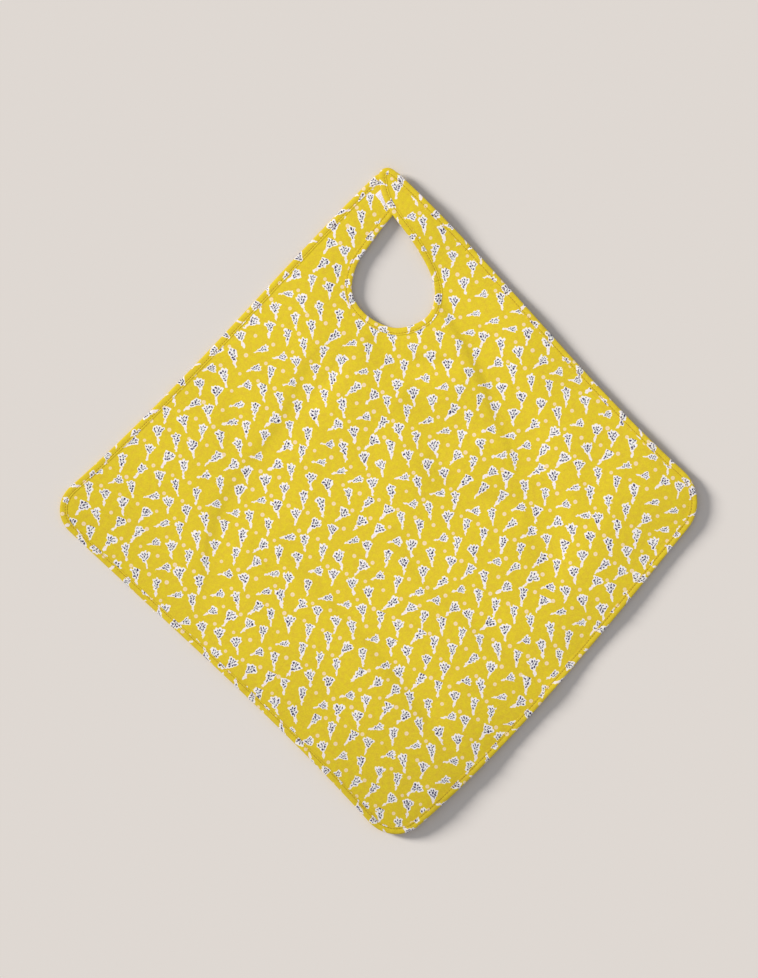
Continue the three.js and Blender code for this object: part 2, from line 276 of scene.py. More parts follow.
# Soft valleys left by folding and handling: knots, depth, the steep wall's width, how many times wider the
# other wall is, and whether the steep wall is on the left (1) or the right (-1) of the way along the knots.
FROM_NECK_RIGHT = ((46, 256), (62, 222), (84, 184), (100, 155), (116, 121), (131, 84), (144, 53), (151, 22))
CREASES = [
    (FROM_NECK_RIGHT, 5.4, 8, 3.6, -1),
    (((156, 20), (164, -12), (172, -42), (176, -88)), 3.2, 12, 2.2, -1),
    (((-36, 174), (-67, 141), (-93, 89), (-119, 48), (-146, 14)), 2.6, 8, 3.4, -1),
    (((-130, 38), (-158, -6), (-173, -58), (-177, -112)), 2.6, 9, 2.8, -1),
    (((-22, 172), (-52, 130), (-80, 92)), 1.3, 6, 1.6, -1),
    (((-132, -40), (-108, -76), (-80, -112)), 1.8, 6, 1.6, -1),
    (((-104, -36), (-51, -98), (1, -155), (46, -216), (80, -262)), 3.4, 8, 2.6, -1),
    (((14, -28), (58, -88), (95, -119), (147, -166), (186, -194)), 3.6, 10, 2.6, -1),
    (((-10, 172), (22, 148), (50, 142), (84, 141)), 4.8, 8, 3.0, 1),
    (((30, 116), (66, 92), (104, 66)), 4.6, 9, 3.0, 1),
    (((54, 52), (78, 20), (110, 0), (150, -4)), 4.6, 9, 3.0, 1),
    (((228, 66), (220, 20), (219, -34)), 1.4, 13, 1.5, -1),
    (((-146, 124), (-156, 70), (-152, 20)), 1.0, 9, 1.5, -1),
    (((-146, -184), (-112, -210), (-80, -239), (-48, -268)), 1.8, 5, 1.6, 1),
]


def crease_depth(points, knots, depth, width, stretched, steep_side):
    """A valley along a curve that fades at both ends."""
    path = smooth_curve(knots, 8)
    start, line = path[:-1], np.diff(path, axis=0)
    share = np.clip(((points[:, None] - start) * line).sum(2) / (line**2).sum(1), 0, 1)
    offset = points[:, None] - start - share[..., None] * line
    gap = np.hypot(offset[..., 0], offset[..., 1])
    nearest = gap.argmin(1)
    row = np.arange(len(points))
    sign = np.sign(line[nearest, 0] * offset[row, nearest, 1] - line[nearest, 1] * offset[row, nearest, 0])
    across = gap[row, nearest] / np.where(sign == steep_side, width, width * stretched)
    place = (nearest + share[row, nearest]) / len(line)
    fade = np.sin(math.pi * np.clip(place, 0, 1)) ** 0.6
    return depth * fade * (np.exp(-(across**2)) - 0.3 * np.exp(-((across / 3) ** 2)))


def mid_height(points, edge_gap):
    """Height of the middle of the cloth layers, for points whose distance from the edge is given."""

    def roll(high, length, seed):
        return high * noise(points, length, seed)

    calm = smoothstep(np.hypot(*(points - STRAPS_MEET).T), 60, 170)
    height = LYING_HEIGHT + sum(roll(*r) for r in ROLLS) * calm
    height += MIDDLE_HIGHER * smoothstep(edge_gap, 0, 80) * calm
    height += roll(*FINE_ROLL) * smoothstep(edge_gap, 0, 40) + roll(*FINEST_ROLL)
    height += roll(*EDGE_ROLL) * calm * smoothstep(edge_gap, 50, 0)
    height -= LEFT_LOWER * smoothstep(points[:, 0], 0, -280) * calm
    height -= TIP_LOWER * smoothstep(np.hypot(*(points - TIP_CENTRE).T), 60, 15)
    corner = np.hypot(*(points - BOTTOM).T)
    height += BEFORE_BOTTOM_HIGHER * np.exp(-(((corner - 110) / 55) ** 2))
    height += BOTTOM_HIGHER * smoothstep(corner, 110, 20)
    for crease in CREASES:
        height -= crease_depth(points, *crease) * smoothstep(edge_gap, -8, 8)
    # A soft floor, so that no valley takes the lining through what the bib lies on.
    lowest = EDGE_LOWEST + (MIDDLE_LOWEST - EDGE_LOWEST) * smoothstep(edge_gap, 0, 40)
    soft = 0.5
    return lowest + soft * np.log1p(np.exp((height - lowest) / soft))


def strap_rise(points, on_strap):
    """How far the right strap, and the body beside its root, climb on to the left strap."""
    beside = on_strap | (points[:, 0] > NECK_RIGHT) & (station(points) < 0)
    return STRAP_RISE * smoothstep(station(points), RISE_START, RISE_END) * beside


def half_thickness(edge_gap):
    """Half of the layers' thickness without the binding: pressed thin at the sewn edge and soft inside it."""
    seam = SEAM_HALF * smoothstep(edge_gap, BINDING_WIDTH - 1, BINDING_WIDTH + 5)
    return EDGE_HALF + seam + PUFF_HALF * smoothstep(edge_gap, BINDING_WIDTH - 1, 55) ** 0.7


def binding_half(edge_gap, skin):
    """Half of the binding's outer (skin 1) or inner (skin 0) height at a distance from the folded edge."""
    start = (1 - skin) * BINDING_THICK
    nose = np.clip((edge_gap - start) / (BINDING_NOSE - start), 0, 1)
    groove = GROOVE_DEPTH * np.exp(-(((edge_gap - STITCH_INSET) / GROOVE_WIDTH) ** 2))
    puff = half_thickness(edge_gap) - EDGE_HALF
    return (BINDING_HALF + skin * BINDING_THICK) * np.sqrt(nose * (2 - nose)) - groove + puff


def puckers(distance, edge_gap):
    """Small gathers along the sewn edge."""
    wander = noise(np.c_[distance, distance * 0], 60, 21)
    gathers = PUCKER_HEIGHT * np.sin(distance / PUCKER_LENGTH + 3 * wander) * wander
    return gathers * np.exp(-edge_gap / PUCKER_REACH)


# ---- Meshes ----


def new_piece(name, points, faces, cloth=None, smooth=True):
    """A mesh object from points in millimetres, with the place of each point on the flat cloth."""
    mesh = bpy.data.meshes.new(name)
    mesh.from_pydata((np.asarray(points) * MM).tolist(), [], [tuple(map(int, f)) for f in faces])
    if cloth is not None:
        flat = np.c_[cloth, np.zeros(len(cloth))]
        mesh.attributes.new("cloth", "FLOAT_VECTOR", "POINT").data.foreach_set("vector", flat.ravel())
    mesh.polygons.foreach_set("use_smooth", [smooth] * len(mesh.polygons))
    mesh.update()
    piece = bpy.data.objects.new(name, mesh)
    bpy.context.scene.collection.objects.link(piece)
    return piece


def inside(points, outline):
    """Whether each point is inside a closed outline."""
    x, y = points.T
    found = np.zeros(len(points), bool)
    for (x0, y0), (x1, y1) in zip(outline, np.roll(outline, -1, axis=0)):
        if y0 != y1:
            found ^= ((y0 > y) != (y1 > y)) & (x < (x1 - x0) * (y - y0) / (y1 - y0) + x0)
    return found


def triangulate(outline, step):
    """Points and triangles that fill an outline, close to a grid of equal triangles."""
    low, high = outline.min(0), outline.max(0)
    rows = []
    for i, y in enumerate(np.arange(low[1], high[1], step * math.sqrt(3) / 2)):
        x = np.arange(low[0] + (i % 2) * step / 2, high[0], step)
        rows.append(np.c_[x, np.full(len(x), y)])
    grid = np.vstack(rows)
    grid = grid[inside(grid, outline)]
    closed = np.vstack([outline, outline[:1]])
    grid = grid[distance_to(grid, [closed]) > step * 0.6]
    count = len(outline)
    points = [Vector(p) for p in np.vstack([outline, grid])]
    edges = [(i, (i + 1) % count) for i in range(count)]
    made, _, faces, *_ = delaunay_2d_cdt(points, edges, [list(range(count))[::-1]], 1, 1e-6)
    return np.array([tuple(p) for p in made]), faces


def edge_distance(points, loop, distances):
    """Distance along the loop of the nearest loop point."""
    found = np.empty(len(points))
    for low in range(0, len(points), 2000):
        chunk = points[low:low + 2000, None]
        found[low:low + 2000] = distances[((chunk - loop) ** 2).sum(2).argmin(1)]
    return found


def panel_outline(edge):
    """A part's outline, a little inside its edge, closed along the line where the bend starts."""
    first = 0 if edge is BODY_EDGE else BODY_COUNT - 1
    index = (np.arange(len(edge)) + first) % len(LOOP)
    moved = edge + LOOP_NORMALS[index] * PANEL_INSET
    for end in (0, -1):
        moved[end] -= TOWARDS_TIP * (station(moved[end]) - BEND_START)
    count = max(2, round(np.hypot(*(moved[0] - moved[-1])) / PANEL_STEP))
    chord = np.linspace(moved[-1], moved[0], count + 1)[1:-1]
    return np.vstack([moved, chord])


def cut(outline, degrees):
    """The rectangle a flat piece is cut from, with a side at the given direction, and the piece's area."""
    sides = np.ptp(turned(outline, -degrees), axis=0) * MM
    x, y = outline.T * MM
    return {"flat": tuple(sides), "area": abs(x @ np.roll(y, -1) - y @ np.roll(x, -1)) / 2}


def layer_mesh(edge):
    """Plan points, faces, middle height and distance from the edge that one part's cloth layers share."""
    on_strap = edge is STRAP_EDGE
    plan, faces = triangulate(panel_outline(edge), PANEL_STEP)
    gap = distance_to(plan, STRAP_SURROUND if on_strap else BODY_SURROUND)
    height = mid_height(plan, gap) + puckers(edge_distance(plan, LOOP, LOOP_DISTANCE), gap)
    height += strap_rise(plan, on_strap)
    return plan, faces, height, gap


LAYER_MESHES = [layer_mesh(BODY_EDGE), layer_mesh(STRAP_EDGE)]


def panel(name, on_strap, level):
    """One cloth layer. level is -1 for the lining, 0 for the interlining and 1 for the front."""
    plan, faces, height, gap = LAYER_MESHES[on_strap]
    if level < 0:
        faces = [f[::-1] for f in faces]
    return new_piece(name, np.c_[plan, height + level * half_thickness(gap)], faces, cloth=plan)


OUTER_STEPS = (7.5, 7.3, 6.6, 5.7, 4.8, 3.2, 1.8, 0.9, 0.3, 0.0)
INNER_STEPS = (7.5, 5.7, 4.0, 2.2, 1.1, 0.45)
SECTION = (
    [(u, 1, 1) for u in OUTER_STEPS] + [(u, -1, 1) for u in OUTER_STEPS[-2::-1]]
    + [(u, -1, 0) for u in INNER_STEPS] + [(u, 1, 0) for u in INNER_STEPS[-2::-1]]
)


def loop_share(on_strap):
    """Places, inward normals and distances along the loop of one part's edge."""
    index = np.arange(BODY_COUNT - 1, len(LOOP) + 1) if on_strap else np.arange(BODY_COUNT)
    distance = np.r_[LOOP_DISTANCE, LOOP_DISTANCE[-1] + np.hypot(*(LOOP[0] - LOOP[-1]))][index]
    return LOOP[index % len(LOOP)], LOOP_NORMALS[index % len(LOOP)], distance


def binding(name, on_strap):
    """The folded strip along one part's edge, closed at its ends."""
    edge, normal, distance = loop_share(on_strap)
    u, sign, skin = (np.array(column, float) for column in zip(*SECTION))
    count = len(SECTION)
    plan = edge[:, None] + normal[:, None] * u[None, :, None]
    gap = np.broadcast_to(u, plan.shape[:2])
    flat = plan.reshape(-1, 2)
    height = mid_height(flat, gap.ravel()).reshape(gap.shape)
    height += puckers(np.broadcast_to(distance[:, None], gap.shape).ravel(), gap.ravel()).reshape(gap.shape)
    height += strap_rise(flat, on_strap).reshape(gap.shape)
    half = np.where(skin > 0, binding_half(u, 1), binding_half(u, 0))
    fullness = 0.1 * noise(np.c_[distance, distance * 0], 9, 23)[:, None]
    height += sign * half * (1 + fullness * np.sin(math.pi * np.clip(u / 7, 0, 1)))
    profile = np.c_[u, sign * half]
    across = np.r_[0, np.cumsum(np.hypot(*np.diff(profile, axis=0).T))]
    # The strip is cut on the bias, from a part of the print that the panels do not use.
    s, v = distance[:, None] + 0 * gap, across[None, :] + 0 * gap
    x, y = (s + v) * math.sqrt(0.5) + STRIP_PLACE[0], (v - s) * math.sqrt(0.5) + STRIP_PLACE[1]
    cloth = np.stack([x, y], 2).reshape(-1, 2)
    rings = len(edge)
    faces = [
        (i * count + j, i * count + (j + 1) % count, (i + 1) * count + (j + 1) % count, (i + 1) * count + j)
        for i in range(rings - 1) for j in range(count)
    ]
    ends = [tuple(range(count))[::-1], tuple((rings - 1) * count + j for j in range(count))]
    return new_piece(name, np.c_[flat, height.ravel()], faces + ends, cloth)


def tube_faces(first, rings, sides):
    """Faces of a closed tube whose rings of points follow each other from the first point."""
    faces = [
        (first + i * sides + j, first + i * sides + (j + 1) % sides,
         first + (i + 1) * sides + (j + 1) % sides, first + (i + 1) * sides + j)
        for i in range(rings - 1) for j in range(sides)
    ]
    last = first + (rings - 1) * sides
    return faces + [tuple(range(first, first + sides))[::-1], tuple(range(last, last + sides))]


def tubes(name, centres, across, up, radii, sides=6):
    """Many short closed tubes as one mesh. centres, across and up are arrays of tube, ring and axis."""
    angle = np.arange(sides) / sides * 2 * math.pi
    ring = across[:, :, None] * np.cos(angle)[:, None] + up[:, :, None] * np.sin(angle)[:, None]
    points = centres[:, :, None] + ring * radii[None, :, None, None]
    amount, rings = centres.shape[:2]
    faces = [f for i in range(amount) for f in tube_faces(i * rings * sides, rings, sides)]
    return new_piece(name, points.reshape(-1, 3), faces, cloth=points.reshape(-1, 3)[:, :2])


STITCH_PLACES = np.array((-1, -0.75, 0, 0.75, 1))
STITCH_RADII = np.array((0.35, 0.85, 1, 0.85, 0.35)) * THREAD_RADIUS


def stitch_line(path, level, pitch, length):
    """Centres and sideways directions of stitches along a path, each on the height that level gives."""
    distance = along(path)
    count = int(distance[-1] / pitch)
    middle = (np.arange(count) + 0.5) * distance[-1] / count
    wanted = middle[:, None] + STITCH_PLACES * length / 2
    plan = np.stack([np.interp(wanted, distance, path[:, k]) for k in (0, 1)], 2)
    line = plan[:, -1] - plan[:, 0]
    line /= np.hypot(*line.T)[:, None]
    height = level(plan.reshape(-1, 2), wanted.ravel()).reshape(wanted.shape)
    centres = np.dstack([plan, height - 0.2 * STITCH_PLACES**2])
    sideways = np.broadcast_to(np.c_[-line[:, 1], line[:, 0], 0 * middle][:, None], centres.shape)
    return centres, sideways


def edge_stitching(name, on_strap):
    """The stitches through the binding's inner edge, on the front and on the lining."""
    edge, normal, distance = loop_share(on_strap)
    path = edge + normal * STITCH_INSET
    path_distance = along(path)
    parts = []
    for sign in (1, -1):

        def level(plan, wanted, sign=sign):
            gap = np.full(len(plan), STITCH_INSET)
            height = mid_height(plan, gap) + puckers(np.interp(wanted, path_distance, distance), gap)
            height += strap_rise(plan, on_strap)
            return sign * height + binding_half(gap, 1) + THREAD_RADIUS * 0.5

        centres, sideways = stitch_line(path, level, STITCH_PITCH, STITCH_LENGTH)
        centres[..., 2] *= sign
        parts.append((centres, sideways))
    centres, sideways = (np.concatenate(p) for p in zip(*parts))
    upright = np.broadcast_to((0.0, 0.0, 1.0), centres.shape)
    return tubes(name, centres, sideways, upright, STITCH_RADII)


def turned(points, degrees):
    angle = math.radians(degrees)
    return points @ np.array(((math.cos(angle), math.sin(angle)), (-math.sin(angle), math.cos(angle))))


def body_front(plan):
    """Height of the front panel's face on the body."""
    gap = distance_to(plan, BODY_SURROUND)
    return mid_height(plan, gap) + half_thickness(gap)


def strap_lining(plan):
    """Height of the lining's face on the right strap."""
    gap = distance_to(plan, STRAP_SURROUND)
    return mid_height(plan, gap) + strap_rise(plan, True) - half_thickness(gap)


def tape(name, centre, size, turn, cloth_level, side):
    """A rectangle of woven tape with rounded corners, on the front (side 1) or the lining (side -1)."""
    step, corner_cut = 0.8, 1.2
    columns, rows = (round(s / step) + 1 for s in size)
    x, y = np.meshgrid(*(np.linspace(-s / 2, s / 2, n) for s, n in zip(size, (columns, rows))))
    local = np.c_[x.ravel(), y.ravel()]
    over = np.abs(local) - (np.array(size) / 2 - corner_cut)
    far = np.hypot(*np.maximum(over, 0).T)
    shrink = np.where((over > 0).all(1) & (far > corner_cut), corner_cut / np.maximum(far, 1e-9), 1)[:, None]
    local -= np.sign(local) * np.maximum(over, 0) * (1 - shrink)
    plan = turned(local, turn) + centre
    under = cloth_level(plan) + side * TAPE_CLEAR
    from_rim = (np.array(size) / 2 - np.abs(local)).min(1)
    rim = np.clip(from_rim / 0.7, 0, 1)
    over_it = under + side * TAPE_BASE * (0.55 + 0.45 * np.sqrt(rim * (2 - rim)))
    count = rows * columns
    at = np.arange(count).reshape(rows, columns)
    quads = np.stack([at[:-1, :-1], at[:-1, 1:], at[1:, 1:], at[1:, :-1]], 2).reshape(-1, 4)
    around = np.r_[at[0], at[1:, -1], at[-1, -2::-1], at[-2:0:-1, 0]]
    after = np.roll(around, -1)
    wall = np.stack([around + count, after + count, after, around], 1)
    faces = np.vstack([quads, quads[:, ::-1] + count, wall])
    if side < 0:
        faces = faces[:, ::-1]
    points = np.vstack([np.c_[plan, over_it], np.c_[plan, under]])
    return new_piece(name, points, faces, cloth=np.vstack([local, local]))


def pile(name, centre, size, turn, cloth_level, side, spacing, seed, arc, radius, sides):
    """Many small threads that stand on a tape. arc gives one thread's shape along its length."""
    rng = np.random.default_rng(seed)
    across = size[0] / 2 - 0.8, size[1] / 2 - SELVEDGE
    x, y = (np.arange(-a, a + 0.01, spacing) for a in across)
    stray = rng.uniform(-0.25, 0.25, (len(x) * len(y), 2)) * spacing
    local = np.array([(i, j) for i in x for j in y]) + stray
    facing = rng.normal(0, 0.5, len(local))
    reach, rise = arc
    direction = np.c_[np.cos(facing), np.sin(facing)]
    plan = turned(local[:, None] + direction[:, None] * reach[None, :, None], turn).reshape(-1, 2) + centre
    stand = rng.uniform(0.8, 1.1, len(local))[:, None] * rise[None]
    base = cloth_level(plan) + side * (TAPE_CLEAR + TAPE_BASE)
    centres = np.c_[plan, base + side * stand.ravel()].reshape(len(local), len(reach), 3)
    tangent = np.gradient(centres, axis=1)
    tangent /= np.linalg.norm(tangent, axis=2)[..., None]
    flat = turned(direction, turn)
    sideways = np.broadcast_to(np.c_[-flat[:, 1], flat[:, 0], 0 * stand[:, 0]][:, None], centres.shape)
    return tubes(name, centres, sideways, np.cross(tangent, sideways), np.full(len(reach), radius), sides)


def tape_stitching(name, centre, size, turn, cloth_level, side):
    """One rectangle of stitches just inside a tape's edge."""
    inset, pitch, length = 0.95, 2.1, 1.75
    a, b = (s / 2 - inset for s in size)
    path = turned(np.array(((-a, -b), (a, -b), (a, b), (-a, b), (-a, -b))), turn) + centre
    path = np.vstack([np.linspace(p, q, 30) for p, q in zip(path, path[1:])])

    def level(plan, wanted):
        return side * cloth_level(plan) + TAPE_CLEAR + TAPE_BASE + 0.06

    path = path[np.r_[True, np.hypot(*np.diff(path, axis=0).T) > 1e-6]]
    centres, sideways = stitch_line(path, level, pitch, length)
    centres[..., 2] *= side
    upright = np.broadcast_to((0.0, 0.0, 1.0), centres.shape)
    return tubes(name, centres, sideways, upright, STITCH_RADII * 0.6)


LOOP_ARC = (
    0.28 * np.cos(np.linspace(math.pi, 0, 7)),
    PILE_HEIGHT * np.sin(np.linspace(0, math.pi, 7)),
)
HOOK_ARC = (
    np.array((0, 0, 0.02, 0.15, 0.36, 0.46, 0.42)),
    HOOK_HEIGHT * np.array((0, 0.4, 0.75, 0.97, 0.97, 0.78, 0.62)),
)

# ---- Materials ----


class Nodes:
    """Short calls that add shader nodes to a tree."""

    def __init__(self, tree):
        self.tree = tree
        tree.nodes.clear()

    def add(self, kind, inputs=(), **settings):
        node = self.tree.nodes.new("ShaderNode" + kind)
        for name, value in settings.items():
            setattr(node, name, value)
        for key, value in dict(inputs).items():
            if isinstance(value, bpy.types.NodeSocket):
                self.tree.links.new(value, node.inputs[key])
            else:
                node.inputs[key].default_value = value
        return node

    def value(self, operation, *inputs):
        return self.add("Math", enumerate(inputs), operation=operation).outputs[0]

    def vector(self, operation, *inputs):
        node = self.add("VectorMath", enumerate(inputs), operation=operation)
        return node.outputs["Value" if operation in ("LENGTH", "DISTANCE", "DOT_PRODUCT") else "Vector"]

    def scaled(self, vector, factor):
        return self.add("VectorMath", {0: vector, "Scale": factor}, operation="SCALE").outputs["Vector"]

    def step(self, value, edge, soft=0.12):
        """1 where value is under edge, 0 where it is over, with a soft border."""
        inputs = {"Value": value, 1: edge - soft, 2: edge + soft, 3: 1.0, 4: 0.0}
        return self.add("MapRange", inputs, clamp=True).outputs[0]

    def between(self, value, low, high):
        """A value of 0 to 1 spread over a range."""
        inputs = {"Value": value, 1: 0.0, 2: 1.0, 3: low, 4: high}
        return self.add("MapRange", inputs).outputs[0]

    def mix(self, share, under, over):
        node = self.add("Mix", {0: share}, data_type="RGBA")
        for key, colour in ((6, under), (7, over)):
            if isinstance(colour, bpy.types.NodeSocket):
                self.tree.links.new(colour, node.inputs[key])
            else:
                node.inputs[key].default_value = (*colour, 1)
        return node.outputs[2]

    def multiply(self, colour, value):
        node = self.add("Mix", {0: 1.0, 6: colour}, data_type="RGBA", blend_type="MULTIPLY")
        grey = self.add("CombineColor", {0: value, 1: value, 2: value})
        self.tree.links.new(grey.outputs[0], node.inputs[7])
        return node.outputs[2]


def linear(red, green, blue):
    """An sRGB colour of 0 to 255 as linear light."""
    return tuple(((c / 255 + 0.055) / 1.055) ** 2.4 for c in (red, green, blue))


GROUND, GROUND_DEEP = linear(232, 207, 36), linear(226, 194, 46)
PETAL_WHITE = linear(253, 247, 245)
LEAF_NAVY = linear(58, 50, 90)
BUD_GREEN = linear(168, 194, 166)
STEM_PINK = linear(250, 226, 224)
DOT_PEACH = linear(251, 224, 186)

# The print, in millimetres: one sprig in each square of a turned grid, and a dot at most of its corners.
CELL = 20.8
GRID_TURN = math.radians(24)
# A leaf's middle and its direction in degrees, on an upright sprig about 18 mm tall.
TALL_SPRIG = [
    (-1.9, 7.4, 125), (0.5, 8.3, 80), (2.5, 6.9, 40), (-1.0, 5.0, 130), (1.5, 4.3, 60),
    (-1.5, 2.3, 130), (0.9, 1.5, 50), (-0.3, -0.7, 100),
]
WIDE_SPRIG = [
    (-3.2, 6.3, 130), (-0.8, 7.3, 100), (1.7, 7.2, 70), (3.7, 5.6, 40), (-1.9, 3.8, 140),
    (0.4, 4.7, 90), (2.4, 3.3, 50), (-0.6, 1.6, 120), (1.1, 0.6, 60),
]
LEAF_SIZE = (1.15, 0.7)
LEAF_SURROUND = 2.65
# A stem's middle, half length, half width and direction.
TALL_STEM, WIDE_STEM = (-0.1, -4.9, 3.9, 1.2, 87), (-0.3, -4.3, 4.2, 1.25, 82)
# A bud's middle and radius.
BUDS = [(0.3, 3.3, 0.8), (-0.4, 6.2, 0.8)]
# How far a sprig and a dot stray from their place, the share of places without a dot, and the dots' radii.
SPRIG_STRAY, DOT_STRAY = 1.5, 1.2
NO_DOT, DOT_RADII = 0.22, (1.6, 2.2)


def print_group():
    """The printed cloth's colour from a place on the flat cloth in millimetres."""
    tree = bpy.data.node_groups.new("flower_print", "ShaderNodeTree")
    tree.interface.new_socket("Cloth", in_out="INPUT", socket_type="NodeSocketVector")
    tree.interface.new_socket("Color", in_out="OUTPUT", socket_type="NodeSocketColor")
    n = Nodes(tree)
    cloth = tree.nodes.new("NodeGroupInput").outputs["Cloth"]

    def rotated(vector, angle):
        return n.add("VectorRotate", {"Vector": vector, "Angle": angle}, rotation_type="Z_AXIS").outputs[0]

    def chances(cell, seed):
        """Three values of 0 to 1 that belong to a cell of the grid."""
        place = n.vector("ADD", cell, (seed, seed * 1.7, 0.0))
        return n.add("SeparateXYZ", {0: n.add("TexWhiteNoise", {"Vector": place}).outputs["Color"]}).outputs

    grid = n.scaled(rotated(cloth, GRID_TURN), 1 / CELL)

    def in_cell(grid_place, seed, stray):
        """The grid's cell, its chances, and the place from its middle, which strays, in millimetres."""
        cell = n.vector("FLOOR", grid_place)
        chance = chances(cell, seed)
        away = n.vector("SUBTRACT", n.vector("SUBTRACT", grid_place, cell), (0.5, 0.5, 0.0))
        away = n.scaled(rotated(away, -GRID_TURN), CELL)
        shift_x, shift_y = (n.between(chance[i], -stray, stray) for i in (0, 1))
        shift = n.add("CombineXYZ", {0: shift_x, 1: shift_y})
        return cell, chance, n.vector("ADD", n.vector("MULTIPLY", away, (1.0, 1.0, 0.0)), shift.outputs[0])

    cell, chance, place = in_cell(grid, 3.1, SPRIG_STRAY)
    more = chances(cell, 17.3)

    # Most sprigs stand nearly upright, some lean over, and some small ones lie on their side.
    leaning = n.value("GREATER_THAN", more[1], 0.6)
    lying = n.value("GREATER_THAN", more[1], 0.8)
    wide = n.value("GREATER_THAN", chance[2], 0.5)
    flipped = n.value("SUBTRACT", n.value("MULTIPLY", n.value("GREATER_THAN", more[2], 0.5), 2.0), 1.0)
    turn = n.value("ADD", n.between(more[0], -0.2, 0.2), n.value("MULTIPLY", leaning, 0.8))
    turn = n.value("ADD", turn, n.value("MULTIPLY", lying, 0.6))
    size = n.value("ADD", n.between(more[2], 0.9, 1.06), n.value("MULTIPLY", lying, 0.25))
    place = n.scaled(rotated(place, turn), size)
    mirror = n.add("CombineXYZ", {0: flipped, 1: 1.0, 2: 1.0}).outputs[0]
    place = n.vector("MULTIPLY", place, mirror)
    grain = n.vector("ADD", n.scaled(place, 0.3), n.scaled(cell, 5.3))
    wobble = n.add("TexNoise", {"Vector": grain, "Scale": 1.0, "Detail": 1.0}).outputs["Color"]
    wobble = n.vector("MULTIPLY", n.vector("SUBTRACT", wobble, (0.5, 0.5, 0.5)), (4.5, 4.5, 0.0))
    place = n.vector("ADD", place, wobble)

    def oval(x, y, half_length, half_width, degrees):
        """1 at an oval's rim, less inside."""
        inputs = {
            "Vector": place, "Location": (x, y, 0.0),
            "Rotation": (0.0, 0.0, math.radians(degrees)), "Scale": (half_length, half_width, 1.0),
        }
        return n.vector("LENGTH", n.add("Mapping", inputs, vector_type="TEXTURE").outputs[0])

    def bunch(leaves):
        """Distance to the nearest leaf, where 1 is its rim."""
        nearest = None
        for x, y, degrees in leaves:
            leaf = oval(x, y, *LEAF_SIZE, degrees)
            nearest = leaf if nearest is None else n.value("SMOOTH_MIN", nearest, leaf, 0.5)
        return nearest

    def either(for_tall, for_wide):
        spread = n.value("SUBTRACT", for_wide, for_tall)
        return n.value("ADD", for_tall, n.value("MULTIPLY", wide, spread))

    leaf = either(bunch(TALL_SPRIG), bunch(WIDE_SPRIG))
    stem = either(oval(*TALL_STEM), oval(*WIDE_STEM))
    surround = n.value("MAXIMUM", n.step(leaf, LEAF_SURROUND, 0.2), n.step(stem, 1.0, 0.12))
    buds = None
    for x, y, radius in BUDS:
        bud = n.value("SUBTRACT", n.vector("DISTANCE", place, (x, y, 0.0)), radius)
        buds = bud if buds is None else n.value("MINIMUM", buds, bud)

    _, dot_chance, dot_place = in_cell(n.vector("ADD", grid, (0.5, 0.5, 0.0)), 8.7, DOT_STRAY)
    dot_gap = n.vector("LENGTH", dot_place)
    dotted = n.value("GREATER_THAN", dot_chance[2], NO_DOT)
    dot_size = n.between(dot_chance[0], *DOT_RADII)
    dot = n.value("MULTIPLY", n.step(n.value("SUBTRACT", dot_gap, dot_size), 0.0, 0.3), dotted)
    ring = n.value("MULTIPLY", n.step(dot_gap, 0.8, 0.5), dotted)

    dye = n.add("TexNoise", {"Vector": cloth, "Scale": 0.22, "Detail": 3.0, "Roughness": 0.6}).outputs["Fac"]
    dye = n.add("MapRange", {"Value": dye, 1: 0.35, 2: 0.65}, clamp=True).outputs[0]
    ground = n.mix(dye, GROUND, GROUND_DEEP)
    colour = n.mix(dot, ground, DOT_PEACH)
    colour = n.mix(n.value("MULTIPLY", ring, 0.35), colour, GROUND)
    colour = n.mix(surround, colour, PETAL_WHITE)
    colour = n.mix(n.value("MULTIPLY", n.step(stem, 0.55, 0.3), 0.8), colour, STEM_PINK)
    colour = n.mix(n.value("MULTIPLY", n.step(buds, 0.0, 0.3), 0.6), colour, BUD_GREEN)
    colour = n.mix(n.step(leaf, 1.0, 0.25), colour, LEAF_NAVY)
    output = tree.nodes.new("NodeGroupOutput")
    tree.links.new(colour, output.inputs[0])
    return tree


def weave(n, cloth, threads_per_mm):
    """Height of a plain weave, from 0 to 1, and a slow unevenness of its threads."""
    threads = n.add("SeparateXYZ", {0: n.scaled(cloth, math.pi * threads_per_mm)})
    warp, weft = (n.value("SINE", threads.outputs[i]) for i in (0, 1))
    height = n.value("MULTIPLY", warp, weft)

    def slubs(stretch_x, stretch_y):
        place = n.vector("MULTIPLY", cloth, (stretch_x, stretch_y, 1.0))
        return n.add("TexNoise", {"Vector": place, "Scale": 1.0, "Detail": 3.0}).outputs["Fac"]

    return height, n.value("ADD", slubs(0.35, 1.6), slubs(1.6, 0.35))


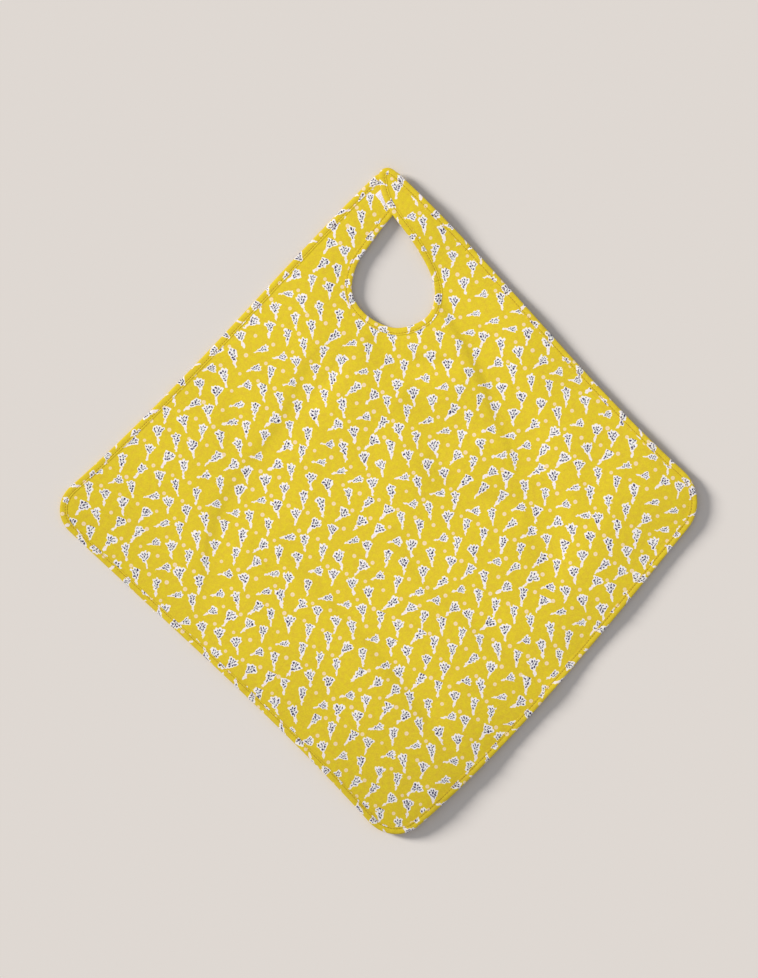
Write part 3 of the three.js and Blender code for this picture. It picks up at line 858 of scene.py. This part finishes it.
def cloth_material(name, colour=None, roughness=0.85, threads_per_mm=2.4, bump=0.12):
    """Woven cloth in one colour, or with the print where no colour is given."""
    material = bpy.data.materials.new(name)
    material.use_nodes = True
    n = Nodes(material.node_tree)
    cloth = n.add("Attribute", attribute_name="cloth").outputs["Vector"]
    height, uneven = weave(n, cloth, threads_per_mm)
    if colour is None:
        group = n.add("Group")
        group.node_tree = PRINT
        material.node_tree.links.new(cloth, group.inputs[0])
        base = group.outputs[0]
    else:
        base = n.add("RGB").outputs[0]
        base.default_value = (*colour, 1)
    patchy = n.add("TexNoise", {"Vector": cloth, "Scale": 0.03, "Detail": 2.0}).outputs["Fac"]
    by_thread = n.add("MapRange", {"Value": uneven, 1: 0.7, 2: 1.3, 3: 0.90, 4: 1.09}).outputs[0]
    by_patch = n.add("MapRange", {"Value": patchy, 3: 0.97, 4: 1.03}).outputs[0]
    # Darker where the weave lies low and lighter where it stands high: painted shade and light between the
    # threads, on top of the threads' own uneven tone.
    weave_shade = n.add("MapRange", {"Value": height, 1: -1.0, 2: 1.0, 3: 0.95, 4: 1.03}).outputs[0]
    tone_and_weave_shade = n.value("MULTIPLY", n.value("MULTIPLY", by_thread, by_patch), weave_shade)
    base = n.multiply(base, tone_and_weave_shade)
    relief = n.value("ADD", n.value("MULTIPLY", height, 0.35), uneven)
    normal = n.add("Bump", {"Strength": bump, "Distance": 0.0004, "Height": relief}).outputs[0]
    shader = n.add("BsdfPrincipled", {"Base Color": base, "Normal": normal, "Roughness": roughness})
    shader.inputs["Specular IOR Level"].default_value = 0.25
    shader.inputs["Sheen Weight"].default_value = 0.12
    shader.inputs["Sheen Roughness"].default_value = 0.5
    n.add("OutputMaterial", {"Surface": shader.outputs[0]})
    return material


PRINT = print_group()
PRINTED_COTTON = cloth_material("printed_cotton")
BINDING_COTTON = cloth_material("binding_cotton")
LINING_COTTON = cloth_material("lining_cotton", linear(238, 230, 214))
WADDING = cloth_material("wadding", linear(244, 242, 236), bump=0.4)
THREAD = cloth_material("sewing_thread", linear(172, 126, 24), roughness=0.6, threads_per_mm=1.2)
TAPE_THREAD = cloth_material("tape_thread", linear(236, 232, 226), roughness=0.6, threads_per_mm=1.2)
LOOP_TAPE = cloth_material("loop_tape", linear(251, 245, 251), threads_per_mm=1.5, bump=0.25)
HOOK_TAPE = cloth_material("hook_tape", linear(236, 234, 230), roughness=0.5, threads_per_mm=1.5, bump=0.3)

# ---- The pieces ----


def dress(piece, material):
    piece.data.materials.append(material)
    return piece


def across_the_bend(make, body_name, strap_name, material):
    """A cloth piece as its body share, fixed to the body, and its strap share, from where the bend starts to
    the strap's tip.
    """
    body_piece = dress(make("bib_" + body_name, False), material)
    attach(body_piece, "bib_body")
    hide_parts(body_name)
    strap_piece = dress(make("bib_" + strap_name, True), material)
    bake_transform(strap_piece)
    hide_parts(strap_name)
    return body_piece, strap_piece


def layer(level):
    return lambda name, on_strap: panel(name, on_strap, level)


front, strap_front = across_the_bend(
    layer(1), "front_panel", "right_strap_front_panel", PRINTED_COTTON
)
middle, strap_middle = across_the_bend(
    layer(0), "interlining", "right_strap_interlining", WADDING
)
back, strap_back = across_the_bend(
    layer(-1), "back_panel", "right_strap_back_panel", LINING_COTTON
)
bound, strap_bound = across_the_bend(
    binding, "edge_binding", "right_strap_binding", BINDING_COTTON
)
stitches, strap_stitches = across_the_bend(
    edge_stitching, "edge_stitching", "right_strap_stitching", THREAD
)

# The rectangle and area each sheet is cut from are worked out here, and nothing is done with them. The panels
# reach nearly to the fold of the binding.
STRAP_TURN = math.degrees(math.atan2(*TOWARDS_TIP[::-1]))
for sheets, size in (
    ((front, middle, back), cut(panel_outline(BODY_EDGE), 45)),
    ((strap_front, strap_middle, strap_back), cut(panel_outline(STRAP_EDGE), STRAP_TURN)),
):
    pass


def fastening(name, place, threads, material, body):
    """One half of the closure: its tape, the pile that stands on it, and the stitches that hold it."""
    patch = dress(tape(f"bib_{name}_patch", *place), material)
    nap = dress(pile(f"bib_{name}_patch_pile", *place, **threads), material)
    sewn = dress(tape_stitching(f"bib_{name}_patch_stitching", *place), TAPE_THREAD)
    for piece in (patch, nap, sewn):
        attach(piece, body)
    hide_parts(name + "_patch")
    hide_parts(name + "_patch_stitching")


LOOPS = {"spacing": 0.62, "seed": 5, "arc": LOOP_ARC, "radius": 0.075, "sides": 4}
HOOKS = {"spacing": 0.85, "seed": 6, "arc": HOOK_ARC, "radius": 0.1, "sides": 5}
ON_LEFT_STRAP = (LOOP_CENTRE, LOOP_SIZE, LOOP_TURN, body_front, 1)
UNDER_RIGHT_STRAP = (HOOK_CENTRE, HOOK_SIZE, HOOK_TURN, strap_lining, -1)
fastening("loop", ON_LEFT_STRAP, LOOPS, LOOP_TAPE, "bib_body")
fastening("hook", UNDER_RIGHT_STRAP, HOOKS, HOOK_TAPE, "right_strap")


# ---- Studio ----

# What the picture shows of the plane that the bib lies on, in millimetres, and where its middle is.
VIEW_HEIGHT, VIEW_MIDDLE = 1019.076, (0, 12.4, 0)
CAMERA_DISTANCE, SENSOR_HEIGHT = 3.4, 36
FLOOR_SIZE, FLOOR_COLOUR = 40, (0.80, 0.746, 0.70, 1)
SKY_COLOUR, SKY_STRENGTH = (0.98, 1, 1.05, 1), 0.40
SUN_COLOUR = (1.0, 0.985, 0.95)
POOL_PLACE, POOL_ANGLE, POOL_RIM, POOL_SIZE, POOL_ENERGY = (0.015, 0.12, 1.3), 44, 0.58, 0.15, 21


def light_only(light, target, state):
    """Lights the target alone (INCLUDE), or everything but it (EXCLUDE)."""
    receivers = bpy.data.collections.new(light.name + "_receivers")
    receivers.objects.link(target)
    receivers.collection_objects[0].light_linking.link_state = state
    light.light_linking.receiver_collection = receivers


def new_light(name, kind):
    light = bpy.data.objects.new(name, bpy.data.lights.new(name, kind))
    bpy.context.scene.collection.objects.link(light)
    return light


def sunlight(name, floor, state, azimuth, elevation, power, spread):
    """A key light from far off. Angles are in degrees, the azimuth from +X towards +Y."""
    azimuth, elevation = math.radians(azimuth), math.radians(elevation)
    across = math.cos(elevation)
    towards = Vector((math.cos(azimuth) * across, math.sin(azimuth) * across, math.sin(elevation)))
    sun = new_light(name, "SUN")
    sun.rotation_mode = "QUATERNION"
    sun.rotation_quaternion = towards.to_track_quat("Z", "Y")
    sun.data.energy = power
    sun.data.color = SUN_COLOUR
    sun.data.angle = math.radians(spread)
    light_only(sun, floor, state)


def studio():
    scene = bpy.context.scene
    scene.view_settings.view_transform = "Standard"
    camera = bpy.data.objects.new("camera", bpy.data.cameras.new("camera"))
    scene.collection.objects.link(camera)
    scene.camera = camera
    camera.data.sensor_fit = "VERTICAL"
    camera.data.sensor_height = SENSOR_HEIGHT
    camera.data.lens = SENSOR_HEIGHT * CAMERA_DISTANCE / (VIEW_HEIGHT * MM)
    camera.location = Vector(VIEW_MIDDLE) * MM + Vector((0, 0, CAMERA_DISTANCE))

    bpy.ops.mesh.primitive_plane_add(size=FLOOR_SIZE)
    floor = bpy.context.object
    floor.name = "floor"
    material = bpy.data.materials.new("floor")
    material.use_nodes = True
    shader = material.node_tree.nodes["Principled BSDF"]
    shader.inputs["Base Color"].default_value = FLOOR_COLOUR
    shader.inputs["Roughness"].default_value = 1.0
    shader.inputs["Specular IOR Level"].default_value = 0.0
    floor.data.materials.append(material)

    world = bpy.data.worlds.new("studio")
    scene.world = world
    world.use_nodes = True
    background = world.node_tree.nodes["Background"]
    background.inputs["Color"].default_value = SKY_COLOUR
    background.inputs["Strength"].default_value = SKY_STRENGTH

    # The floor's share of the key light comes in lower than the cloth's, for a long soft shadow.
    sunlight("key_on_floor", floor, "INCLUDE", azimuth=158, elevation=17, power=5.68, spread=14)
    sunlight("key_on_cloth", floor, "EXCLUDE", azimuth=151, elevation=28, power=1.88, spread=16)

    # A pool of light over the chest, with a soft rim that leaves the corners a little darker.
    over = new_light("over", "SPOT")
    over.location = POOL_PLACE
    over.data.spot_size = math.radians(POOL_ANGLE)
    over.data.spot_blend = POOL_RIM
    over.data.shadow_soft_size = POOL_SIZE
    over.data.energy = POOL_ENERGY
    light_only(over, floor, "EXCLUDE")


studio()
